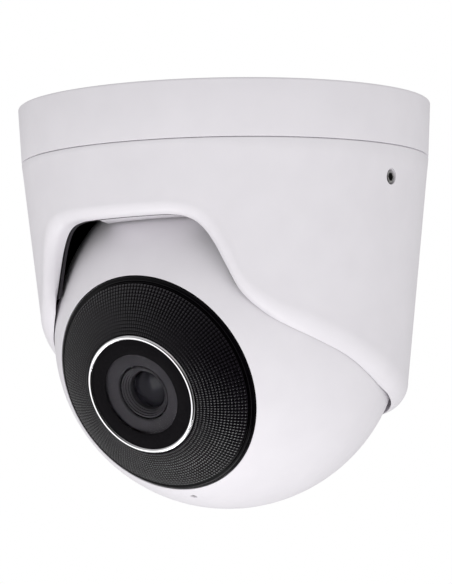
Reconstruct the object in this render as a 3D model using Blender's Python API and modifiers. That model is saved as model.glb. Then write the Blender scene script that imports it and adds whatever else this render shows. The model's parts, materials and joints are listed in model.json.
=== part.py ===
"""Ceiling turret camera: a fixed base, a turret that pans on it, and an eyeball that tilts and rolls in
the turret. Lengths below are millimetres, turned into metres by MM. The origin is the centre of the
ceiling face, +Z points into the ceiling, and the opening of the turret faces -Y."""

import math

import bmesh
import bpy
from mathutils import Matrix, Vector

MM = 0.001

# Outside of the base and the cover
BASE_RADIUS = 55.0
SEAM_RADIUS = 54.2
SEAM = -14.8
SEAM_GAP = 0.3
TAPER = 0.112
COVER_WALL = 1.9
BROW_SHOULDER = -30.5
FRONT_FILLET = 3.5
SIDE_FILLET = 6.6

# Edge of the cover as (azimuth from the front in degrees, height): brow, cheek, side, back
LIP = (
    (0, -33.2), (15, -33.2), (21, -33.7), (25, -35.0), (28, -37.3), (31, -41.1), (34, -46.1),
    (38, -52.3), (43, -56.5), (50, -60.3), (62, -64.5), (75, -68.6), (90, -74.0), (105, -78.1),
    (120, -80.6), (140, -82.6), (180, -83.2),
)

# Eyeball
BALL_Z = -61.0
BALL = 46.1
BALL_INSIDE = 43.7
SEAT = 46.7
TILT_DOWN = 23.06
BALL_FRONT = 35.3
BALL_REAR = -36.1
MIC_ANGLE = 45.2

# Pivot dome
DOME_INSIDE = 46.5
DOME_OUTSIDE = 48.5
SLOT_HALF = 6.4
KEY_WIDE = 12.2
KEY_TALL = 10.0
KEY_TOP = 47.2
KEY_RELIEF = 47.8

# Liner that closes the brow above the ball: (azimuth of the outer corner, azimuth of the inner corner)
LINER_LEFT = (-11, -21)
LINER_RIGHT = (21, 32)
LINER_OUTER = 46.3
LINER_INNER = 37.2
LINER_LOW = -32.9

# Base
PLATE = 2.6
WEB = (-2.9, -5.4)
CABLE_Y = 24.0
CABLE_HOLE = 8.6
RING_SCREW_RADIUS = 49.9

# Set screws of the cover
SET_SCREW_Z = -23.1
SET_SCREW_AZIMUTH = 87.5
SET_SCREW = 2.0


# ---------------------------------------------------------------- scene, materials, objects

def clear_scene():
    for obj in list(bpy.data.objects):
        bpy.data.objects.remove(obj)
    for collection in list(bpy.data.collections):
        bpy.data.collections.remove(collection)


def new_collection(name, hidden=False):
    collection = bpy.data.collections.new(name)
    collection.hide_render = hidden
    bpy.context.scene.collection.children.link(collection)
    return collection


def material(name, colour, roughness, metallic=0.0, alpha=1.0):
    made = bpy.data.materials.new(name)
    made.use_nodes = True
    shader = made.node_tree.nodes["Principled BSDF"]
    shader.inputs["Base Color"].default_value = (*colour, 1.0)
    shader.inputs["Roughness"].default_value = roughness
    shader.inputs["Metallic"].default_value = metallic
    shader.inputs["Alpha"].default_value = alpha
    made.diffuse_color = (*colour, 1.0)
    return made


def place(name, mesh, look, parent=None, at=(0, 0, 0), turn=(0, 0, 0), smooth=30):
    """An object of the camera, or a helper where look is None, placed in millimetres and degrees."""
    obj = bpy.data.objects.new(name, mesh)
    if look is None:
        CUTTERS.objects.link(obj)
        obj.hide_render = True
        obj.display_type = "WIRE"
    else:
        PARTS.objects.link(obj)
        mesh.materials.append(look)
    obj.parent = parent
    obj.location = Vector(at) * MM
    obj.rotation_euler = [math.radians(angle) for angle in turn]
    if smooth:
        mesh.shade_smooth()
        mesh.set_sharp_from_angle(angle=math.radians(smooth))
    return obj


def axis_frame(name, at, turn):
    """An empty that marks a joint axis and carries the pieces that move about it."""
    empty = bpy.data.objects.new(name, None)
    PARTS.objects.link(empty)
    empty.location = Vector(at) * MM
    empty.rotation_euler = [math.radians(angle) for angle in turn]
    return empty


def mesh_from(bm, name):
    mesh = bpy.data.meshes.new(name)
    bmesh.ops.recalc_face_normals(bm, faces=bm.faces)
    bm.to_mesh(mesh)
    bm.free()
    return mesh


def boolean(obj, helper, operation="DIFFERENCE"):
    modifier = obj.modifiers.new(helper.name, "BOOLEAN")
    modifier.operation = operation
    modifier.object = helper
    modifier.solver = "EXACT"
    return obj


# ---------------------------------------------------------------- shapes

def turned(name, profile, look, segments=64, **spot):
    """A profile of (radius, height) spun about Z. It runs down the outer side; one that starts and ends on
    the axis stays open there, and any other is closed into a ring."""
    mesh = bpy.data.meshes.new(name)
    points = [(radius * MM, 0, height * MM) for radius, height in profile]
    edges = [(i, i + 1) for i in range(len(points) - 1)]
    if profile[0][0] > 0:
        edges.append((len(points) - 1, 0))
    mesh.from_pydata(points, edges, [])
    obj = place(name, mesh, look, smooth=None, **spot)
    spin = obj.modifiers.new("Spin", "SCREW")
    spin.steps = spin.render_steps = segments
    spin.use_merge_vertices = True
    spin.merge_threshold = 1e-5
    spin.use_smooth_shade = False
    return obj


def ring(name, inner, outer, top, bottom, look, **spot):
    return turned(name, [(inner, top), (outer, top), (outer, bottom), (inner, bottom)], look, **spot)


def disc(name, radius, top, bottom, look, **spot):
    return turned(name, [(0, top), (radius, top), (radius, bottom), (0, bottom)], look, **spot)


def sphere_arc(radius, top, bottom, steps):
    """Points (radius, height) down a circle about the origin, from one height to another."""
    start, end = math.asin(top / radius), math.asin(bottom / radius)
    angles = [start + (end - start) * i / steps for i in range(steps + 1)]
    return [(radius * math.cos(a), radius * math.sin(a)) for a in angles]


def box(name, size, look, **spot):
    bm = bmesh.new()
    bmesh.ops.create_cube(bm, size=1.0, matrix=Matrix.Diagonal((*(Vector(size) * MM), 1)))
    return place(name, mesh_from(bm, name), look, smooth=None, **spot)


def cylinder(name, radius, length, look, sides=24, **spot):
    bm = bmesh.new()
    bmesh.ops.create_cone(bm, cap_ends=True, segments=sides, radius1=radius * MM, radius2=radius * MM,
                          depth=length * MM)
    return place(name, mesh_from(bm, name), look, **spot)


def extruded(name, outline, depth, look, **spot):
    """An outline in the XY plane, made depth thick about that plane."""
    bm = bmesh.new()
    face = bm.faces.new([bm.verts.new((x * MM, y * MM, -depth * MM / 2)) for x, y in outline])
    raised = bmesh.ops.extrude_face_region(bm, geom=[face])["geom"]
    moved = [item for item in raised if isinstance(item, bmesh.types.BMVert)]
    bmesh.ops.translate(bm, verts=moved, vec=(0, 0, depth * MM))
    return place(name, mesh_from(bm, name), look, smooth=None, **spot)


def screw(name, head, shank, length, look, **spot):
    """A cap screw whose head stands on z = 0, with its shank running down."""
    head_height, socket = head * 0.9, head * 0.45
    profile = [(0, head_height * 0.4), (socket, head_height * 0.4), (socket, head_height),
               (head, head_height), (head, 0), (shank, 0), (shank, -length), (0, -length)]
    return turned(name, profile, look, segments=10, **spot)


def around(count, radius, start=0.0):
    """Evenly spaced (number, x, y, angle in degrees) on a circle about the axis."""
    for i in range(count):
        angle = start + 360.0 * i / count
        yield i + 1, radius * math.cos(math.radians(angle)), radius * math.sin(math.radians(angle)), angle


def drill(obj, name, radius, spots, top, bottom, parent=None, sides=12):
    """Holes through obj along its axis at each (x, y), made by one cutter each."""
    for i, (x, y) in enumerate(spots, 1):
        cutter = cylinder(f"{name}_{i}", radius, top - bottom, None, sides=sides, parent=parent,
                          at=(x, y, (top + bottom) / 2))
        boolean(obj, cutter)


# ---------------------------------------------------------------- edge of the cover

def lip_height(azimuth):
    """Height of the cover's edge: a cubic through LIP that doesn't overshoot."""
    azimuth = abs((azimuth + 180) % 360 - 180)
    steps = [(LIP[i + 1][1] - LIP[i][1]) / (LIP[i + 1][0] - LIP[i][0]) for i in range(len(LIP) - 1)]
    slopes = [0.0]
    for before, after in zip(steps, steps[1:]):
        slopes.append(2 * before * after / (before + after) if before * after > 0 else 0.0)
    slopes.append(0.0)
    i = max(n for n in range(len(LIP) - 1) if LIP[n][0] <= azimuth)
    (a, za), (b, zb) = LIP[i], LIP[i + 1]
    t, width = (azimuth - a) / (b - a), b - a
    return ((1 + 2 * t) * (1 - t) ** 2 * za + t * (1 - t) ** 2 * width * slopes[i]
            + t * t * (3 - 2 * t) * zb + t * t * (t - 1) * width * slopes[i + 1])


def cover_radius(height):
    return SEAM_RADIUS - TAPER * (SEAM - height)


def bore_radius(height):
    below = min(height - BALL_Z, 0.0)
    return math.sqrt(SEAT ** 2 - below ** 2)


def cover_section(azimuth, outer_steps, fillet_steps, inner_steps):
    """Closed outline of the cover wall as (radius, height) at one azimuth."""
    lip = lip_height(azimuth)
    rise = (lip_height(azimuth + 0.5) - lip_height(azimuth - 0.5)) / math.radians(cover_radius(lip))
    blend = min(max((abs(azimuth) - 38) / 24, 0), 1)
    across = FRONT_FILLET + (SIDE_FILLET - FRONT_FILLET) * blend * blend * (3 - 2 * blend)
    tall = across * math.sqrt(1 + rise * rise)
    inner, start = bore_radius(lip), lip
    for _ in range(4):
        middle = cover_radius(start) - across
        end = math.acos(min(max((inner - middle) / across, 0), 1))
        start = lip + tall * math.sin(end)
    top = SEAM - SEAM_GAP / 2
    outline = []
    for i in range(outer_steps):
        height = top + (start - top) * i / outer_steps
        outline.append((cover_radius(height), height))
    for i in range(fillet_steps + 1):
        angle = end * i / fillet_steps
        outline.append((middle + across * math.cos(angle), start - tall * math.sin(angle)))
    first = 1 if end < math.pi / 2 else 0
    for i in range(first, inner_steps + 1):
        height = lip + (BROW_SHOULDER - lip) * i / inner_steps
        outline.append((bore_radius(height), height))
    if not first:
        outline.pop(outer_steps)
    outline.append((cover_radius(BROW_SHOULDER) - COVER_WALL, BROW_SHOULDER))
    outline.append((cover_radius(top) - COVER_WALL, top))
    return outline


def cover_azimuths():
    """Half a turn of section azimuths, close together where the edge is steep."""
    half = [0, 6, 12, 16, 19, 22, 24, 26, 28, 30, 32, 34, 36, 38, 41, 44, 48, 52, 57, 62]
    half += [68 + 7 * i for i in range(16)]
    return half + [180] + [-azimuth for azimuth in reversed(half[1:])]


def cover_mesh(name):
    bm = bmesh.new()
    rings = []
    for azimuth in cover_azimuths():
        side, front = math.sin(math.radians(azimuth)), -math.cos(math.radians(azimuth))
        section = cover_section(azimuth, 2, 5, 6)
        rings.append([bm.verts.new((r * side * MM, r * front * MM, z * MM)) for r, z in section])
    for here, there in zip(rings, rings[1:] + rings[:1]):
        for i in range(len(here)):
            j = (i + 1) % len(here)
            bm.faces.new((here[i], here[j], there[j], there[i]))
    return mesh_from(bm, name)


# ---------------------------------------------------------------- the base, fixed to the ceiling

def build_base():
    wall = cover_radius(SEAM) - 2.3
    housing = turned("base_housing", [
        (0, WEB[0]), (51.8, WEB[0]), (51.8, 0), (BASE_RADIUS, 0), (SEAM_RADIUS, SEAM + SEAM_GAP / 2),
        (wall, SEAM + SEAM_GAP / 2), (wall, WEB[1]), (0, WEB[1]),
    ], WHITE, segments=60)
    for i, x, y, _ in around(3, RING_SCREW_RADIUS, 30):
        boss = cylinder(f"boss_{i}", 1.8, 7.2, None, sides=16, at=(x * 1.01, y * 1.01, WEB[1] - 3.1))
        boolean(housing, boss, "UNION")
    spots = [(x, y) for _, x, y, _ in around(3, RING_SCREW_RADIUS, 30)]
    drill(housing, "boss_hole", 0.95, spots, -6.5, -13.5)
    plate = disc("mounting_plate", 51.5, 0, -PLATE, METAL, segments=48)
    plate_spots = [(x, y) for _, x, y, _ in around(3, 30, 270)]
    for obj, top, bottom in ((housing, -1, -7), (plate, 1, -4)):
        drill(obj, obj.name + "_cable_hole", CABLE_HOLE, [(0, CABLE_Y)], top, bottom, sides=24)
        drill(obj, obj.name + "_screw_hole", 1.25, plate_spots, top, bottom)
    for i, x, y, angle in around(3, 40, 90):
        slot = extruded(f"ceiling_slot_{i}", slot_outline(2.3, 7.0), 8, None, at=(x, y, 0),
                        turn=(0, 0, angle + 90))
        boolean(plate, slot)
    turned("cable_gland", [
        (5.2, -1.2), (8.2, -1.2), (8.2, -5.7), (10.6, -5.7), (10.6, -7.6), (5.2, -7.6),
    ], RUBBER, segments=32, at=(0, CABLE_Y, 0))
    for i, x, y, _ in around(3, 30, 270):
        screw(f"plate_screw_{i}", 2.2, 0.95, 4.9, STEEL, at=(x, y, WEB[1] - 0.3), turn=(180, 0, 0))
    spring_of_waves()
    ring("pan_washer", 44.4, 47.3, -11.4, -12.1, NYLON, segments=44)
    holder = ring("retaining_ring", 44.2, 51.6, -12.4, -14.4, METAL, segments=44)
    drill(holder, "ring_hole", 1.1, spots, -11, -15)
    drill(holder, "ring_recess", 1.8, spots, -12.8, -16)
    for i, x, y, _ in around(3, RING_SCREW_RADIUS, 30):
        screw(f"ring_screw_{i}", 1.5, 0.75, 5.0, STEEL, at=(x, y, -13.0), turn=(180, 0, 0))


def slot_outline(radius, length):
    """A slot with round ends, lengthwise on X."""
    points = []
    for side in (1, -1):
        for i in range(9):
            angle = math.radians(-90 + 22.5 * i + (0 if side > 0 else 180))
            points.append((side * length / 2 + radius * math.cos(angle), radius * math.sin(angle)))
    return points


def spring_of_waves():
    """A wave spring of round wire that presses the turret's flange on its washer."""
    count, middle, wire, height = 4, 45.4, 0.5, 1.0
    bpy.ops.mesh.primitive_torus_add(major_segments=44, minor_segments=5, major_radius=middle * MM,
                                     minor_radius=wire * MM, location=(0, 0, 0))
    made = bpy.context.object
    mesh = made.data
    bpy.data.objects.remove(made)
    for vertex in mesh.vertices:
        angle = math.atan2(vertex.co.y, vertex.co.x)
        vertex.co.z += height * MM * math.cos(count * angle)
    place("pan_brake_spring", mesh, STEEL, at=(0, 0, -7.3))


# ---------------------------------------------------------------- the turret, which pans

def build_turret():
    frame = turned("turret_frame", [
        (41.2, -9.2), (47.5, -9.2), (47.5, -11.1), (43.8, -11.1), (43.8, -16.8), (50.4, -16.8),
        (50.4, -27.2), (48.6, -27.2), (48.6, -18.8), (41.2, -18.8),
    ], METAL, segments=48, parent=PAN)
    cover = place("cover_shell", cover_mesh("cover_shell"), WHITE, parent=PAN)
    for side, word in ((1, "right"), (-1, "left")):
        hole = cylinder(f"set_screw_hole_{word}", SET_SCREW, 12, None, sides=24, **set_screw(side, 50))
        boolean(frame, hole)
        boolean(cover, hole)
        grub = cylinder(f"set_screw_{word}", SET_SCREW - 0.15, 5.4, STEEL, sides=20, parent=PAN,
                        **set_screw(side, 50.3))
        socket = cylinder(f"hex_socket_{word}", 1.15, 4.0, None, sides=6, **set_screw(side, 53.0))
        boolean(grub, socket)
    relief = box("key_relief", (2 * SLOT_HALF + 0.6, KEY_RELIEF - 40, 14), None,
                 at=(0, (40 + KEY_RELIEF) / 2, BALL_Z + 10))
    boolean(cover, relief)
    build_dome()
    build_brow_liner()


def set_screw(side, distance):
    """Place and turn of a piece of a set screw, with the pan axis as far away as this."""
    a = math.radians(SET_SCREW_AZIMUTH)
    return {"at": (side * distance * math.sin(a), -distance * math.cos(a), SET_SCREW_Z),
            "turn": (0, 90, side * (SET_SCREW_AZIMUTH - 90))}


def build_dome():
    """Black dome that backs the ball: a key of the tilt shoe runs in its slot, so the ball only tilts.
    Its thin sleeve lines the bore of the cover down to the equator of the ball."""
    flange_top, flange_bottom, foot = -27.5, BROW_SHOULDER + 0.3, -51.5
    sleeve, lining = SEAT - 0.3, SEAT - 1.0
    low, high = flange_bottom - BALL_Z, flange_top - BALL_Z
    upper = [(r, z + BALL_Z) for r, z in sphere_arc(DOME_OUTSIDE, 47.44, high, 4)]
    inner = [(r, z + BALL_Z) for r, z in reversed(sphere_arc(DOME_INSIDE, 45.4, low + 0.9, 5))]
    profile = upper + [(50.0, flange_top), (50.0, flange_bottom), (sleeve, flange_bottom), (sleeve, foot),
                       (lining, foot), (lining, flange_bottom + 0.9)] + inner
    dome = turned("pivot_dome", profile, BLACK, segments=48, parent=PAN)
    arch = [(0, -30.5), (17.5, -30.5), (20.5, -33.0), (23.0, -37.0), (25.0, -41.5), (26.7, -45.5),
            (28.4, -50.0), (31.0, -56.0)]
    arch += [(-x, z) for x, z in reversed(arch[1:])]
    front = extruded("dome_front_cut", arch, 60, None, at=(0, -30, 0), turn=(90, 0, 0))
    boolean(dome, front)
    slot = box("dome_slot", (2 * SLOT_HALF, 55.9, 60), None, at=(0, 47.9 - 55.9 / 2, -31))
    boolean(dome, slot)


def build_brow_liner():
    """White plate inside the brow, against the dome, with round edges and slanting ends."""
    top = BROW_SHOULDER
    outline = []
    for radius, start, end in ((LINER_OUTER, LINER_LEFT[0], LINER_RIGHT[0]),
                               (LINER_INNER, LINER_RIGHT[1], LINER_LEFT[1])):
        for i in range(13):
            azimuth = math.radians(start + (end - start) * i / 12)
            outline.append((radius * math.sin(azimuth), -radius * math.cos(azimuth)))
    extruded("brow_liner", outline, top - LINER_LOW, WHITE, parent=PAN, at=(0, 0, (top + LINER_LOW) / 2))


# ---------------------------------------------------------------- the cradle, which tilts

def build_cradle():
    """Pieces on the rear of the ball, in the frame whose +Z is the view direction."""
    cap = [(r, -z) for r, z in sphere_arc(BALL - 0.1, 45.8, -BALL_REAR + 0.3, 4)]
    profile = [(14.4, -32.3), (17.6, -32.3), (17.6, BALL_REAR - 0.3)]
    profile += list(reversed(cap)) + [(cap[0][0], -42.0), (14.4, -42.0)]
    shoe = turned("tilt_shoe", profile, NYLON, segments=36, parent=TILT)
    key = box("shoe_key", (KEY_WIDE, KEY_TALL, 4.4), None, parent=TILT,
              at=(0, 0, -KEY_TOP + 2.2))
    boolean(shoe, key, "UNION")
    cable = cylinder("shoe_cable_hole", 3.8, 14, None, sides=24, parent=TILT, at=(0, 0, -44))
    boolean(shoe, cable)
    spots = [(x, y) for _, x, y, _ in around(3, 16, 90)]
    drill(shoe, "shoe_screw_hole", 0.9, spots, -30, -38, parent=TILT)
    ring("roll_friction_ring", 18.2, 21.0, -32.4, -33.6, RUBBER, segments=32, parent=TILT)
    retainer = ring("roll_retainer", 12.5, 21.0, -29.9, -32.0, METAL, segments=32, parent=TILT)
    drill(retainer, "retainer_hole", 1.0, spots, -28, -34, parent=TILT)
    for i, x, y, _ in around(3, 16, 90):
        screw(f"retainer_screw_{i}", 1.4, 0.7, 6.0, STEEL, parent=TILT, at=(x, y, -29.6))


# ---------------------------------------------------------------- the eyeball, which rolls

def build_ball():
    profile = sphere_arc(BALL, BALL_FRONT, BALL_REAR, 12)
    profile += [(27.3, BALL_REAR), (27.3, -32.9), (21.8, -32.9), (21.8, -30.6)]
    profile += list(reversed(sphere_arc(BALL_INSIDE, 30.0, -30.6, 7)))
    profile += [(27.0, 30.0), (27.0, 32.2), (29.5, 32.2), (29.5, BALL_FRONT)]
    shell = turned("ball_shell", profile, WHITE, segments=48, parent=ROLL)
    boolean(shell, cylinder("mic_hole", 0.8, 8, None, sides=16, parent=ROLL, **radial(MIC_ANGLE, 45.0)))
    pocket = cylinder("mic_pocket", 2.2, 7, None, sides=20, parent=ROLL, **radial(MIC_ANGLE, 39.8))
    boolean(shell, pocket)
    rear = ring("rear_cover", 18.0, 27.0, -34.2, BALL_REAR, METAL, segments=32, parent=ROLL)
    spots = [(x, y) for _, x, y, _ in around(3, 24.3, 30)]
    drill(rear, "rear_cover_hole", 1.15, spots, -33, -38, parent=ROLL)
    drill(shell, "rear_ledge_hole", 0.95, spots, -29, -34, parent=ROLL)
    ring("rear_gasket", 25.8, 26.9, -33.2, -33.9, RUBBER, segments=32, parent=ROLL)
    for i, x, y, _ in around(3, 24.3, 30):
        hole = cylinder(f"rear_head_recess_{i}", 2.0, 2.6, None, sides=12, parent=ROLL,
                        at=(x, y, BALL_REAR))
        boolean(rear, hole)
        screw(f"rear_cover_screw_{i}", 1.2, 0.75, 4.4, STEEL, parent=ROLL, at=(x, y, -34.9),
              turn=(180, 0, 0))
    cylinder("microphone", 1.8, 2.2, STEEL, sides=16, parent=ROLL, **radial(MIC_ANGLE, 41.4))
    build_bezel()
    build_lens()
    build_electronics()


def radial(angle, distance):
    """Place and turn of a piece on the ball, below the view direction by angle and facing outwards."""
    a = math.radians(angle)
    return {"at": (0, -distance * math.sin(a), distance * math.cos(a)), "turn": (angle, 0, 0)}


def build_bezel():
    face = sphere_arc(BALL - 0.1, 42.98, 35.46, 4)
    back = sphere_arc(BALL_INSIDE + 0.2, 34.46, 39.7, 3)
    profile = [(16.35, 40.9)] + face + [(29.3, 32.5), (27.2, 32.5)] + back + [(12.4, 39.7), (12.4, 40.9)]
    turned("bezel", profile, BLACK, segments=48, parent=ROLL)
    ring("chrome_ring", 14.95, 16.06, 43.5, 41.2, CHROME, segments=48, parent=ROLL)
    disc("window_glass", 14.6, 43.1, 42.2, GLASS, segments=48, parent=ROLL)
    ring("window_gasket", 12.7, 14.6, 42.1, 41.0, RUBBER, segments=32, parent=ROLL)


def build_lens():
    turned("light_baffle", [
        (7.3, 42.0), (12.2, 42.0), (12.2, 40.6), (10.6, 40.6), (10.6, 33.0), (9.6, 33.0), (9.6, 41.0),
        (7.3, 41.0),
    ], RUBBER, segments=32, parent=ROLL)
    turned("lens_barrel", [
        (6.6, 41.7), (7.0, 41.4), (7.0, 33.0), (6.0, 32.4), (6.0, 24.0), (3.4, 24.0), (3.4, 33.0),
        (5.2, 34.5), (5.2, 40.0),
    ], BLACK, segments=32, parent=ROLL)
    dome = [(0, 40.0), (2.6, 39.7), (4.9, 38.8)]
    turned("lens_front_glass", dome + [(4.9, 37.2), (0, 37.2)], GLASS, segments=32, parent=ROLL)
    holder = turned("lens_holder", [(6.3, 26.6), (8.2, 26.6), (8.2, 19.0), (6.3, 19.0)], BLACK,
                    segments=32, parent=ROLL)
    foot = box("holder_foot", (20, 20, 3), None, parent=ROLL, at=(0, 0, 18.0))
    boolean(holder, foot, "UNION")
    well = box("holder_well", (12, 12, 6), None, parent=ROLL, at=(0, 0, 17.0))
    boolean(holder, well)
    disc("ir_cut_filter", 6.0, 22.0, 21.0, GLASS, segments=24, parent=ROLL)
    box("image_sensor", (9.6, 8.4, 1.2), CHIP, parent=ROLL, at=(0, 0, 15.6))
    box("sensor_board", (34, 34, 1.6), BOARD, parent=ROLL, at=(0, 0, 13.9))


def build_electronics():
    bracket = ring("inner_bracket", 9.2, 31.0, 29.7, 27.2, METAL, segments=32, parent=ROLL)
    spots = [(x, y) for _, x, y, _ in around(3, 29.0, 90)]
    drill(bracket, "bracket_hole", 1.2, spots, 31, 26, parent=ROLL)
    boolean(bracket, bpy.data.objects["mic_pocket"])
    shell = bpy.data.objects["ball_shell"]
    drill(shell, "front_ledge_hole", 0.95, spots, 31.2, 29, parent=ROLL)
    for i, x, y, _ in around(3, 29.0, 90):
        screw(f"bracket_screw_{i}", 1.7, 0.75, 4.0, STEEL, parent=ROLL, at=(x, y, 26.9),
              turn=(180, 0, 0))
    ring("led_board", 11.2, 26.4, 31.6, 30.1, BOARD, segments=32, parent=ROLL)
    for i, x, y, _ in around(3, 21.0, 30):
        turned(f"infrared_led_{i}", [(0, 35.6), (1.6, 35.2), (2.3, 34.0), (2.3, 32.9), (2.7, 32.9),
                                     (2.7, 31.9), (0, 31.9)], CLEAR, segments=12, parent=ROLL,
               at=(x, y, 0))
    for i, x, y, _ in around(4, 27.0, 45):
        cylinder(f"board_standoff_{i}", 2.1, 28.8, BRASS, sides=12, parent=ROLL, at=(x, y, 12.5))
    for i, x in enumerate((-13.5, 13.5), 1):
        cylinder(f"sensor_standoff_{i}", 2.0, 14.6, BRASS, sides=12, parent=ROLL, at=(x, 0, 5.5))
    disc("main_board", 33.0, -2.2, -3.8, BOARD, segments=32, parent=ROLL)
    box("processor", (15, 15, 1.6), CHIP, parent=ROLL, at=(0, 0, -4.9))
    box("board_connector", (12, 6, 5), NYLON, parent=ROLL, at=(0, 24, -6.6))
    fins, pitch, height, base = 7, 5.0, 9.0, 2.5
    outline = [(-17, 0), (17, 0)]
    for i in reversed(range(fins)):
        x = (i - (fins - 1) / 2) * pitch
        outline += [(x + 1, -base), (x + 1, -base - height), (x - 1, -base - height), (x - 1, -base)]
    outline[2] = (17, -base)
    outline[-1] = (-17, -base)
    outline[3], outline[-2] = (17, -base - height), (-17, -base - height)
    extruded("heat_sink", outline, 30, METAL, parent=ROLL, at=(0, 0, -6.0), turn=(90, 0, 0))


clear_scene()
PARTS = new_collection("turret_camera")
CUTTERS = new_collection("cutters", hidden=True)
WHITE = material("white_paint", (0.76, 0.75, 0.77), 0.45)
BLACK = material("black_plastic", (0.018, 0.017, 0.019), 0.4)
RUBBER = material("black_rubber", (0.02, 0.02, 0.02), 0.85)
METAL = material("die_cast_metal", (0.52, 0.53, 0.55), 0.45, 1.0)
STEEL = material("screw_steel", (0.55, 0.55, 0.56), 0.3, 1.0)
CHROME = material("chrome", (0.85, 0.85, 0.86), 0.06, 1.0)
BRASS = material("brass", (0.65, 0.48, 0.2), 0.35, 1.0)
NYLON = material("nylon", (0.1, 0.1, 0.1), 0.5)
GLASS = material("window_glass", (0.2, 0.2, 0.22), 0.03, 0.0, 0.35)
CLEAR = material("led_lens", (0.8, 0.82, 0.85), 0.08, 0.0, 0.6)
BOARD = material("circuit_board", (0.02, 0.12, 0.05), 0.5)
CHIP = material("chip_black", (0.03, 0.03, 0.032), 0.45)

PAN = axis_frame("pan_axis", (0, 0, 0), (0, 0, 0))
TILT = axis_frame("tilt_axis", (0, 0, BALL_Z), (90 + TILT_DOWN, 0, 0))
ROLL = axis_frame("roll_axis", (0, 0, BALL_Z), (90 + TILT_DOWN, 0, 0))

build_base()
build_turret()
build_cradle()
build_ball()
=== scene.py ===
"""Looks of the ceiling turret camera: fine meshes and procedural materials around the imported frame.
Lengths are millimetres, turned into metres by MM. The ball's pieces are built in the ball's own frame, whose
origin is its centre and whose +Z is the way the lens looks."""

import json
import math

import bmesh
import bpy
from mathutils import Matrix, Vector


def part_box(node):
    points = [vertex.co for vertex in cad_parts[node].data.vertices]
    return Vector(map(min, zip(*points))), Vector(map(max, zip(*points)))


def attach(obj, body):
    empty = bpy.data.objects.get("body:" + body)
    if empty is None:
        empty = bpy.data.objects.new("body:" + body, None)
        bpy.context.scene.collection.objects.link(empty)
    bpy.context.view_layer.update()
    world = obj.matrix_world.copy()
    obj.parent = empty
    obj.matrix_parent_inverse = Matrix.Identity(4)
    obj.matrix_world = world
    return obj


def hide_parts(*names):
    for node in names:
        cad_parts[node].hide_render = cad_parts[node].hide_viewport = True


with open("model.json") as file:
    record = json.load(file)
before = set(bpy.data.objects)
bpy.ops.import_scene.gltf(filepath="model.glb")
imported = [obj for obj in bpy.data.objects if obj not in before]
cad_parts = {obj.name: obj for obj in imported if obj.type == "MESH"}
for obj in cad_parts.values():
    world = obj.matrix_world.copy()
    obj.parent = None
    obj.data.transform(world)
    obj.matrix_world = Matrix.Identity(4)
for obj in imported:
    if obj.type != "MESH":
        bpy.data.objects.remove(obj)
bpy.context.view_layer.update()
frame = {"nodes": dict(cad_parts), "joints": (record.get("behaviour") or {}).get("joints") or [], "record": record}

MM = 0.001
WORLD = Matrix.Identity(4)
JOINTS = {joint["name"]: joint for joint in frame["joints"]}
BALL_CENTRE = Vector(JOINTS["ball_roll"]["pos_m"])
VIEW_AXIS = Vector(JOINTS["ball_roll"]["axis"])
TILT = math.degrees(math.asin(-VIEW_AXIS.z))
BALL_FRAME = Matrix.Translation(BALL_CENTRE) @ Matrix.Rotation(math.radians(90 + TILT), 4, "X")

# Camera, at the photograph's angle
AZIMUTH = 34.44
ELEVATION = -4.24
DISTANCE = 797.5
AIM_Z = -52.25
PAN, RISE, ROLL = 0.026, 4.437, -1.0
LENS = 184.7

# Studio surroundings that only reflections see: a direction, then the angles from it in degrees where the
# change starts and ends, and the brightness beyond the far angle and inside the near one
DIM_TOWARDS = (0.45, -0.70, -0.55)
DIM = (45, 82, 0.50, 0.01)
PANEL_TOWARDS = (-0.62, -0.56, -0.55)
PANEL = (14, 30, 0.0, 1.2)
SIDE_TOWARDS = (-0.80, 0.35, -0.45)
SIDE = (10, 35, 0.0, 0.05)
HIGHLIGHT_TOWARDS = (-0.24, -0.10, -0.95)
HIGHLIGHT = (6, 20, 0.0, 2.4)

# Even light on everything else, and the powers of the lamps
AROUND = 0.66
FRONT_POWER = 1.9
UNDER_POWER = 0.46
STRIP_WIDTH = 0.035
STRIP_TURN = -26

# Fine shapes
SIDES = 288
EDGE = 0.35

# Edge of the cover as (azimuth from the front in degrees, height): brow, cheek, side, back
LIP = (
    (0, -33.2), (15, -33.2), (21, -33.7), (25, -35.0), (28, -37.3), (31, -41.1), (34, -46.1),
    (38, -52.3), (43, -56.5), (50, -60.3), (62, -64.5), (75, -68.6), (90, -74.0), (105, -78.1),
    (120, -80.6), (140, -82.6), (180, -83.2),
)
SEAM = -14.8
SEAM_GAP = 0.11
SEAM_RADIUS = 54.2
TAPER = 0.112
COVER_WALL = 1.9
BROW_SHOULDER = -30.5
FRONT_FILLET = 3.5
SIDE_FILLET = 6.6
SEAT = 46.7
CHEEK_CLOSES = 0.35
BACK_OPENS = 0.75
SLOT_HALF = 6.4
MASK_HOLE = 10.9
SCREW_AZIMUTH = 87.5
SCREW_HEIGHT = -23.1
SCREW_HOLE = 2.0
SLEEVE_GAP = 0.15
LINER_LEFT = (-11, -21)
LINER_RIGHT = (21, 32)

# Bezel: chequered by rings and spokes of small pads, then a groove and a polished rim
PAD_COLUMNS = 180
PAD_ROWS = 15
PAD_STEPS = 5
PAD_DEPTH = 0.16
PAD_CROWN = 0.02
PAD_EDGE_POWER = 5
# Middle share of each pad, across and along, that takes the lighter, shinier painted-highlight finish; the grooves
# outside it keep the darker black as painted shade
PAD_PAINTED_LIGHT_SPAN = 0.61
PADS_FROM, PADS_TO = 20.9, 37.3
GROOVE_TO = 38.2


# ---------------------------------------------------------------- sizes read from the frame

def reach(node, matrix=WORLD):
    """Least and greatest (radius, height) of a CAD node about the Z axis of a frame, in millimetres."""
    inverse = matrix.inverted()
    points = [inverse @ vertex.co for vertex in frame["nodes"][node].data.vertices]
    radii = [math.hypot(point.x, point.y) / MM for point in points]
    heights = [point.z / MM for point in points]
    return min(radii), max(radii), min(heights), max(heights)


# ---------------------------------------------------------------- outlines

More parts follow.
